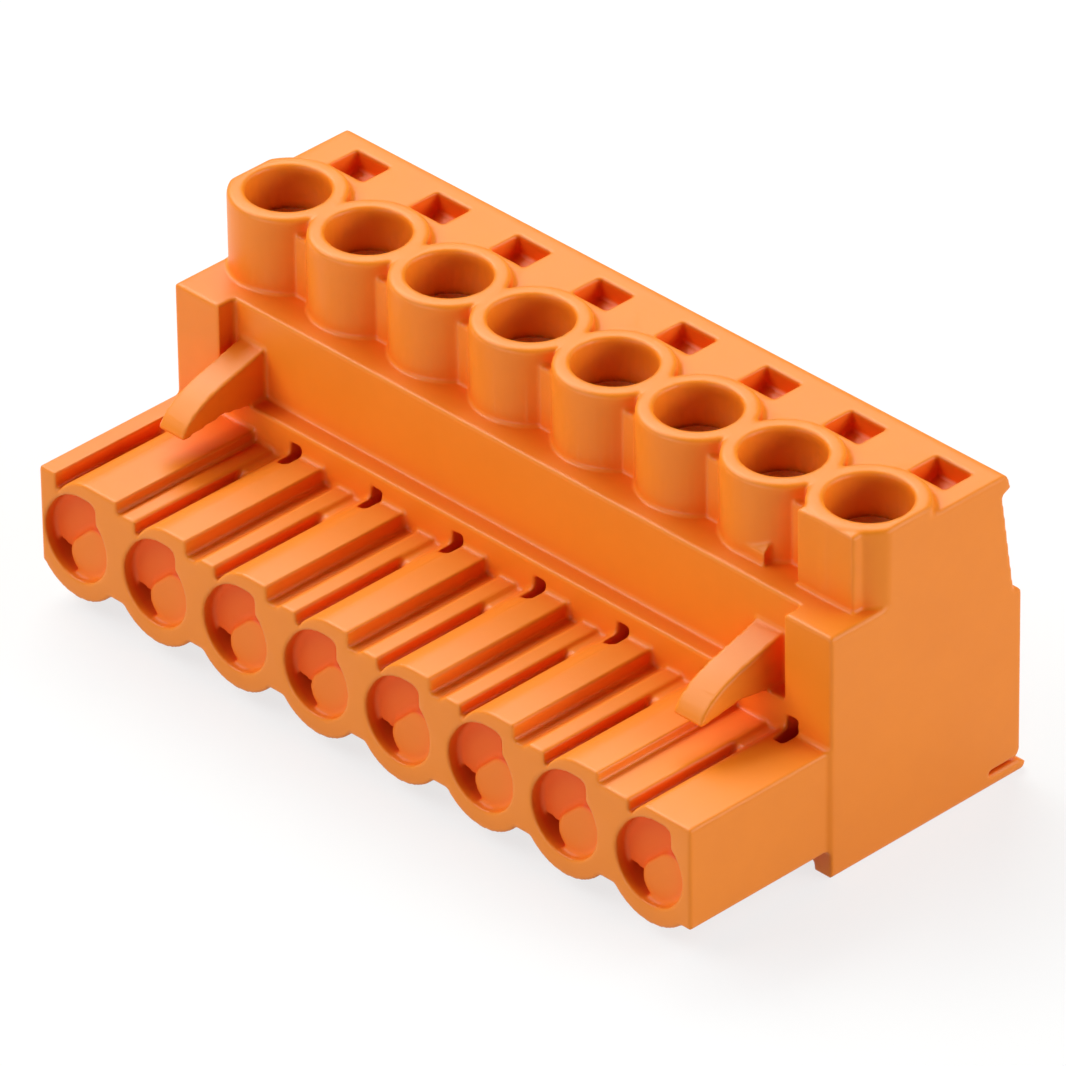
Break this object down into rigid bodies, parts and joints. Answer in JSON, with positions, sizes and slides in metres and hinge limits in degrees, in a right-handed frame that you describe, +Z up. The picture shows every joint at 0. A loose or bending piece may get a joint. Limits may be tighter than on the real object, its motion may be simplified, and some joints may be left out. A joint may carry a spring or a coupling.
{
  "type": "pluggable terminal block",
  "caption": "Orange pluggable screw-clamp terminal block with a row of round screw collars, plug sleeves and two hooks.",
  "frame": {"origin": "middle of the footprint, on the plane that the block rests on", "axes": "+X along the row of poles, +Y towards the wire side, +Z up along the screws"},
  "size_m": [0.0404, 0.0204, 0.0161],
  "materials": {
    "housing_plastic": "satin moulded thermoplastic",
    "screw_metal": "zinc plated",
    "clamp_metal": "zinc plated",
    "contact_metal": "tin plated copper alloy"
  },
  "bodies": {
    "block": {"housing": "housing_plastic", "contact_1": "contact_metal", "contact_2": "contact_metal", "contact_3": "contact_metal", "contact_4": "contact_metal", "contact_5": "contact_metal", "contact_6": "contact_metal", "contact_7": "contact_metal", "contact_8": "contact_metal"},
    "screw_1": {"screw_1": "screw_metal"},
    "clamp_1": {"clamp_1": "clamp_metal"},
    "screw_2": {"screw_2": "screw_metal"},
    "clamp_2": {"clamp_2": "clamp_metal"},
    "screw_3": {"screw_3": "screw_metal"},
    "clamp_3": {"clamp_3": "clamp_metal"},
    "screw_4": {"screw_4": "screw_metal"},
    "clamp_4": {"clamp_4": "clamp_metal"},
    "screw_5": {"screw_5": "screw_metal"},
    "clamp_5": {"clamp_5": "clamp_metal"},
    "screw_6": {"screw_6": "screw_metal"},
    "clamp_6": {"clamp_6": "clamp_metal"},
    "screw_7": {"screw_7": "screw_metal"},
    "clamp_7": {"clamp_7": "clamp_metal"},
    "screw_8": {"screw_8": "screw_metal"},
    "clamp_8": {"clamp_8": "clamp_metal"}
  },
  "joints": [
    {"name": "screw_1_turn", "type": "hinge", "parent": "block", "child": "screw_1", "pos_m": [-0.01778, 0.00289, 0.0141], "axis": [0, 0, -1], "range_deg": [0, 1800]},
    {"name": "clamp_1_lift", "type": "slide", "parent": "block", "child": "clamp_1", "axis": [0, 0, 1], "range_m": [0, 0.00225]},
    {"name": "screw_2_turn", "type": "hinge", "parent": "block", "child": "screw_2", "pos_m": [-0.0127, 0.00289, 0.0141], "axis": [0, 0, -1], "range_deg": [0, 1800]},
    {"name": "clamp_2_lift", "type": "slide", "parent": "block", "child": "clamp_2", "axis": [0, 0, 1], "range_m": [0, 0.00225]},
    {"name": "screw_3_turn", "type": "hinge", "parent": "block", "child": "screw_3", "pos_m": [-0.00762, 0.00289, 0.0141], "axis": [0, 0, -1], "range_deg": [0, 1800]},
    {"name": "clamp_3_lift", "type": "slide", "parent": "block", "child": "clamp_3", "axis": [0, 0, 1], "range_m": [0, 0.00225]},
    {"name": "screw_4_turn", "type": "hinge", "parent": "block", "child": "screw_4", "pos_m": [-0.00254, 0.00289, 0.0141], "axis": [0, 0, -1], "range_deg": [0, 1800]},
    {"name": "clamp_4_lift", "type": "slide", "parent": "block", "child": "clamp_4", "axis": [0, 0, 1], "range_m": [0, 0.00225]},
    {"name": "screw_5_turn", "type": "hinge", "parent": "block", "child": "screw_5", "pos_m": [0.00254, 0.00289, 0.0141], "axis": [0, 0, -1], "range_deg": [0, 1800]},
    {"name": "clamp_5_lift", "type": "slide", "parent": "block", "child": "clamp_5", "axis": [0, 0, 1], "range_m": [0, 0.00225]},
    {"name": "screw_6_turn", "type": "hinge", "parent": "block", "child": "screw_6", "pos_m": [0.00762, 0.00289, 0.0141], "axis": [0, 0, -1], "range_deg": [0, 1800]},
    {"name": "clamp_6_lift", "type": "slide", "parent": "block", "child": "clamp_6", "axis": [0, 0, 1], "range_m": [0, 0.00225]},
    {"name": "screw_7_turn", "type": "hinge", "parent": "block", "child": "screw_7", "pos_m": [0.0127, 0.00289, 0.0141], "axis": [0, 0, -1], "range_deg": [0, 1800]},
    {"name": "clamp_7_lift", "type": "slide", "parent": "block", "child": "clamp_7", "axis": [0, 0, 1], "range_m": [0, 0.00225]},
    {"name": "screw_8_turn", "type": "hinge", "parent": "block", "child": "screw_8", "pos_m": [0.01778, 0.00289, 0.0141], "axis": [0, 0, -1], "range_deg": [0, 1800]},
    {"name": "clamp_8_lift", "type": "slide", "parent": "block", "child": "clamp_8", "axis": [0, 0, 1], "range_m": [0, 0.00225]}
  ],
  "couplings": [
    {"joint": "screw_1_turn", "follows": "clamp_1_lift", "rad_per_m": 13963},
    {"joint": "screw_2_turn", "follows": "clamp_2_lift", "rad_per_m": 13963},
    {"joint": "screw_3_turn", "follows": "clamp_3_lift", "rad_per_m": 13963},
    {"joint": "screw_4_turn", "follows": "clamp_4_lift", "rad_per_m": 13963},
    {"joint": "screw_5_turn", "follows": "clamp_5_lift", "rad_per_m": 13963},
    {"joint": "screw_6_turn", "follows": "clamp_6_lift", "rad_per_m": 13963},
    {"joint": "screw_7_turn", "follows": "clamp_7_lift", "rad_per_m": 13963},
    {"joint": "screw_8_turn", "follows": "clamp_8_lift", "rad_per_m": 13963}
  ]
}
